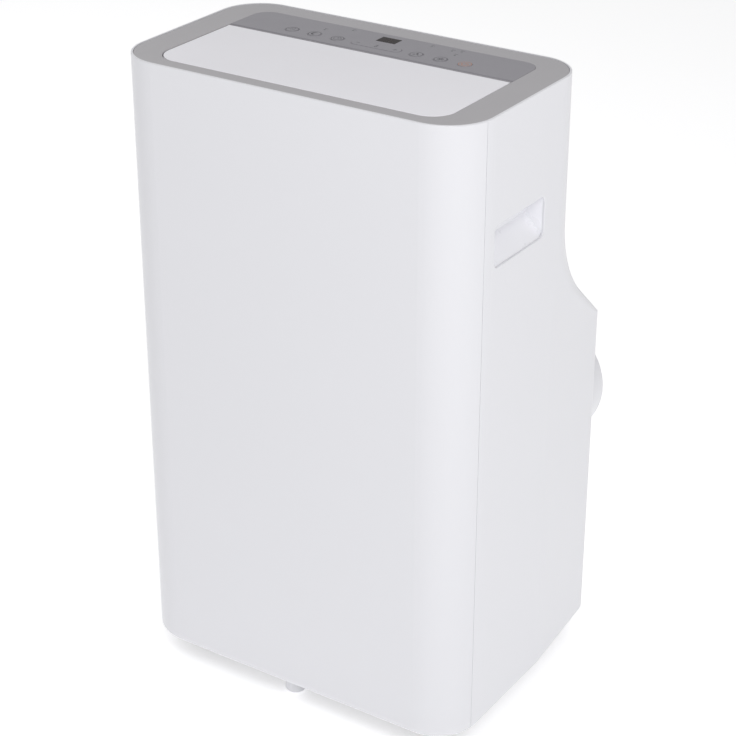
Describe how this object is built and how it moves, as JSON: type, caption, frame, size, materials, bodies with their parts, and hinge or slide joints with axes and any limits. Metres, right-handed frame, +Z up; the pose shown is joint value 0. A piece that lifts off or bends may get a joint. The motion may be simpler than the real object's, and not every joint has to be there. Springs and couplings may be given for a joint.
{
  "type": "portable air conditioner",
  "caption": "Tall white portable air conditioner on swivel casters, with a flap over the top air outlet, a control panel, side handle recesses and a round rear exhaust spigot.",
  "frame": {"origin": "on the floor, under the middle of the overall box with the exhaust spigot in it", "axes": "+Z up, +X to the right as seen from the front, the front face looks along -Y"},
  "size_m": [0.44, 0.391, 0.755],
  "materials": {
    "white_abs": "satin white moulded ABS",
    "grey_abs": "satin light grey moulded ABS",
    "panel_film": "darker grey printed film",
    "smoked_acrylic": "smoked display window",
    "clear_lens": "light pipe plastic",
    "white_pp": "white polypropylene",
    "black_nylon": "black nylon",
    "grey_nylon": "grey nylon",
    "filter_frame": "black polypropylene frame with mesh",
    "zinc_steel": "zinc plated steel",
    "black_paint": "black painted steel",
    "aluminium_fin": "aluminium fins on copper tube",
    "copper": "copper tube",
    "black_rubber": "moulded rubber",
    "board_green": "glass epoxy board",
    "foam_eps": "moulded foam and polystyrene"
  },
  "bodies": {
    "casing": {"base_pan": "grey_nylon", "casing_screws": "zinc_steel", "compressor": "black_paint", "compressor_grommets": "black_rubber", "condenser_coil": "aluminium_fin", "condenser_motor": "zinc_steel", "condenser_volute": "zinc_steel", "control_board": "board_green", "control_overlay": "panel_film", "cord_gland": "grey_nylon", "display_window": "smoked_acrylic", "electric_box": "zinc_steel", "electric_box_lid": "zinc_steel", "evaporator_coil": "aluminium_fin", "evaporator_motor": "zinc_steel", "evaporator_volute": "foam_eps", "exhaust_collar": "white_abs", "flap_motor": "white_pp", "front_cover": "white_abs", "front_foot": "grey_nylon", "handle_cup_left": "white_abs", "handle_cup_right": "white_abs", "indicator_lenses": "clear_lens", "main_board": "board_green", "middle_deck": "white_pp", "outlet_duct": "black_nylon", "rear_casing": "white_abs", "refrigerant_pipes": "copper", "top_frame": "grey_abs", "vane_motor": "zinc_steel"},
    "intake_grille": {"upper_grille": "white_abs", "upper_filter": "filter_frame"},
    "flap": {"flap": "white_abs"},
    "vane_link": {"vane_link": "black_nylon"},
    "evaporator_wheel": {"evaporator_wheel": "black_nylon"},
    "condenser_wheel": {"condenser_wheel": "black_nylon"},
    "key_temperature": {"key_temperature": "panel_film"},
    "lower_grille": {"lower_grille": "white_abs"},
    "drain_cap_upper": {"drain_cap_upper": "black_rubber"},
    "drain_cap_lower": {"drain_cap_lower": "black_rubber"},
    "key_swing": {"key_swing": "panel_film"},
    "key_sleep": {"key_sleep": "panel_film"},
    "key_timer": {"key_timer": "panel_film"},
    "key_fan_speed": {"key_fan_speed": "panel_film"},
    "key_mode": {"key_mode": "panel_film"},
    "key_power": {"key_power": "panel_film"},
    "vane_1": {"vane_1": "black_nylon"},
    "vane_2": {"vane_2": "black_nylon"},
    "vane_3": {"vane_3": "black_nylon"},
    "vane_4": {"vane_4": "black_nylon"},
    "vane_5": {"vane_5": "black_nylon"},
    "vane_6": {"vane_6": "black_nylon"},
    "caster_fork_front_left": {"caster_fork_front_left": "zinc_steel"},
    "caster_fork_front_right": {"caster_fork_front_right": "zinc_steel"},
    "caster_fork_rear_left": {"caster_fork_rear_left": "zinc_steel"},
    "caster_fork_rear_right": {"caster_fork_rear_right": "zinc_steel"},
    "caster_wheel_front_left": {"caster_wheel_front_left": "black_nylon"},
    "caster_wheel_front_right": {"caster_wheel_front_right": "black_nylon"},
    "caster_wheel_rear_left": {"caster_wheel_rear_left": "black_nylon"},
    "caster_wheel_rear_right": {"caster_wheel_rear_right": "black_nylon"}
  },
  "joints": [
    {"name": "flap_hinge", "type": "hinge", "parent": "casing", "child": "flap", "pos_m": [0, -0.0418, 0.7495], "axis": [-1, 0, 0], "range_deg": [0, 75]},
    {"name": "vane_1_tilt", "type": "hinge", "parent": "casing", "child": "vane_1", "pos_m": [-0.135, -0.1075, 0.7002], "axis": [0, 1, 0], "range_deg": [-35, 35]},
    {"name": "vane_2_tilt", "type": "hinge", "parent": "casing", "child": "vane_2", "pos_m": [-0.081, -0.1075, 0.7002], "axis": [0, 1, 0], "range_deg": [-35, 35]},
    {"name": "vane_3_tilt", "type": "hinge", "parent": "casing", "child": "vane_3", "pos_m": [-0.027, -0.1075, 0.7002], "axis": [0, 1, 0], "range_deg": [-35, 35]},
    {"name": "vane_4_tilt", "type": "hinge", "parent": "casing", "child": "vane_4", "pos_m": [0.027, -0.1075, 0.7002], "axis": [0, 1, 0], "range_deg": [-35, 35]},
    {"name": "vane_5_tilt", "type": "hinge", "parent": "casing", "child": "vane_5", "pos_m": [0.081, -0.1075, 0.7002], "axis": [0, 1, 0], "range_deg": [-35, 35]},
    {"name": "vane_6_tilt", "type": "hinge", "parent": "casing", "child": "vane_6", "pos_m": [0.135, -0.1075, 0.7002], "axis": [0, 1, 0], "range_deg": [-35, 35]},
    {"name": "vane_link_pivot", "type": "hinge", "parent": "vane_1", "child": "vane_link", "pos_m": [-0.135, -0.0549, 0.6872], "axis": [0, 1, 0], "range_deg": [-35, 35]},
    {"name": "caster_swivel_front_left", "type": "hinge", "parent": "casing", "child": "caster_fork_front_left", "pos_m": [-0.16, -0.1335, 0.0396], "axis": [0, 0, 1], "continuous": true},
    {"name": "caster_roll_front_left", "type": "hinge", "parent": "caster_fork_front_left", "child": "caster_wheel_front_left", "pos_m": [-0.16, -0.1225, 0.017], "axis": [1, 0, 0], "continuous": true},
    {"name": "caster_swivel_front_right", "type": "hinge", "parent": "casing", "child": "caster_fork_front_right", "pos_m": [0.16, -0.1335, 0.0396], "axis": [0, 0, 1], "continuous": true},
    {"name": "caster_roll_front_right", "type": "hinge", "parent": "caster_fork_front_right", "child": "caster_wheel_front_right", "pos_m": [0.16, -0.1225, 0.017], "axis": [1, 0, 0], "continuous": true},
    {"name": "caster_swivel_rear_left", "type": "hinge", "parent": "casing", "child": "caster_fork_rear_left", "pos_m": [-0.16, 0.0785, 0.0396], "axis": [0, 0, 1], "continuous": true},
    {"name": "caster_roll_rear_left", "type": "hinge", "parent": "caster_fork_rear_left", "child": "caster_wheel_rear_left", "pos_m": [-0.16, 0.0895, 0.017], "axis": [1, 0, 0], "continuous": true},
    {"name": "caster_swivel_rear_right", "type": "hinge", "parent": "casing", "child": "caster_fork_rear_right", "pos_m": [0.16, 0.0785, 0.0396], "axis": [0, 0, 1], "continuous": true},
    {"name": "caster_roll_rear_right", "type": "hinge", "parent": "caster_fork_rear_right", "child": "caster_wheel_rear_right", "pos_m": [0.16, 0.0895, 0.017], "axis": [1, 0, 0], "continuous": true},
    {"name": "evaporator_wheel_spin", "type": "hinge", "parent": "casing", "child": "evaporator_wheel", "pos_m": [0.0504, -0.0905, 0.558], "axis": [0, 1, 0], "continuous": true},
    {"name": "condenser_wheel_spin", "type": "hinge", "parent": "casing", "child": "condenser_wheel", "pos_m": [0.112, 0.0005, 0.2561], "axis": [1, 0, 0], "continuous": true},
    {"name": "key_swing_press", "type": "slide", "parent": "casing", "child": "key_swing", "axis": [0, 0, -1], "range_m": [0, 0.0006], "stiffness_N_per_m": 1500, "springref_m": -0.0005},
    {"name": "key_sleep_press", "type": "slide", "parent": "casing", "child": "key_sleep", "axis": [0, 0, -1], "range_m": [0, 0.0006], "stiffness_N_per_m": 1500, "springref_m": -0.0005},
    {"name": "key_timer_press", "type": "slide", "parent": "casing", "child": "key_timer", "axis": [0, 0, -1], "range_m": [0, 0.0006], "stiffness_N_per_m": 1500, "springref_m": -0.0005},
    {"name": "key_fan_speed_press", "type": "slide", "parent": "casing", "child": "key_fan_speed", "axis": [0, 0, -1], "range_m": [0, 0.0006], "stiffness_N_per_m": 1500, "springref_m": -0.0005},
    {"name": "key_mode_press", "type": "slide", "parent": "casing", "child": "key_mode", "axis": [0, 0, -1], "range_m": [0, 0.0006], "stiffness_N_per_m": 1500, "springref_m": -0.0005},
    {"name": "key_power_press", "type": "slide", "parent": "casing", "child": "key_power", "axis": [0, 0, -1], "range_m": [0, 0.0006], "stiffness_N_per_m": 1500, "springref_m": -0.0005},
    {"name": "key_temperature_rock", "type": "hinge", "parent": "casing", "child": "key_temperature", "pos_m": [0, -0.0162, 0.7477], "axis": [0, 1, 0], "range_deg": [-1.4, 1.4], "stiffness_Nm_per_rad": 0.8},
    {"name": "upper_grille_pull", "type": "slide", "parent": "casing", "child": "intake_grille", "axis": [0, 1, 0], "range_m": [0, 0.08]},
    {"name": "lower_grille_pull", "type": "slide", "parent": "casing", "child": "lower_grille", "axis": [0, 1, 0], "range_m": [0, 0.08]},
    {"name": "drain_cap_upper_pull", "type": "slide", "parent": "casing", "child": "drain_cap_upper", "axis": [0, 1, 0], "range_m": [0, 0.025]},
    {"name": "drain_cap_lower_pull", "type": "slide", "parent": "casing", "child": "drain_cap_lower", "axis": [0, 1, 0], "range_m": [0, 0.025]}
  ],
  "couplings": [
    {"joint": "vane_2_tilt", "follows": "vane_1_tilt", "ratio": 1},
    {"joint": "vane_3_tilt", "follows": "vane_1_tilt", "ratio": 1},
    {"joint": "vane_4_tilt", "follows": "vane_1_tilt", "ratio": 1},
    {"joint": "vane_5_tilt", "follows": "vane_1_tilt", "ratio": 1},
    {"joint": "vane_6_tilt", "follows": "vane_1_tilt", "ratio": 1},
    {"joint": "vane_link_pivot", "follows": "vane_1_tilt", "ratio": -1}
  ]
}
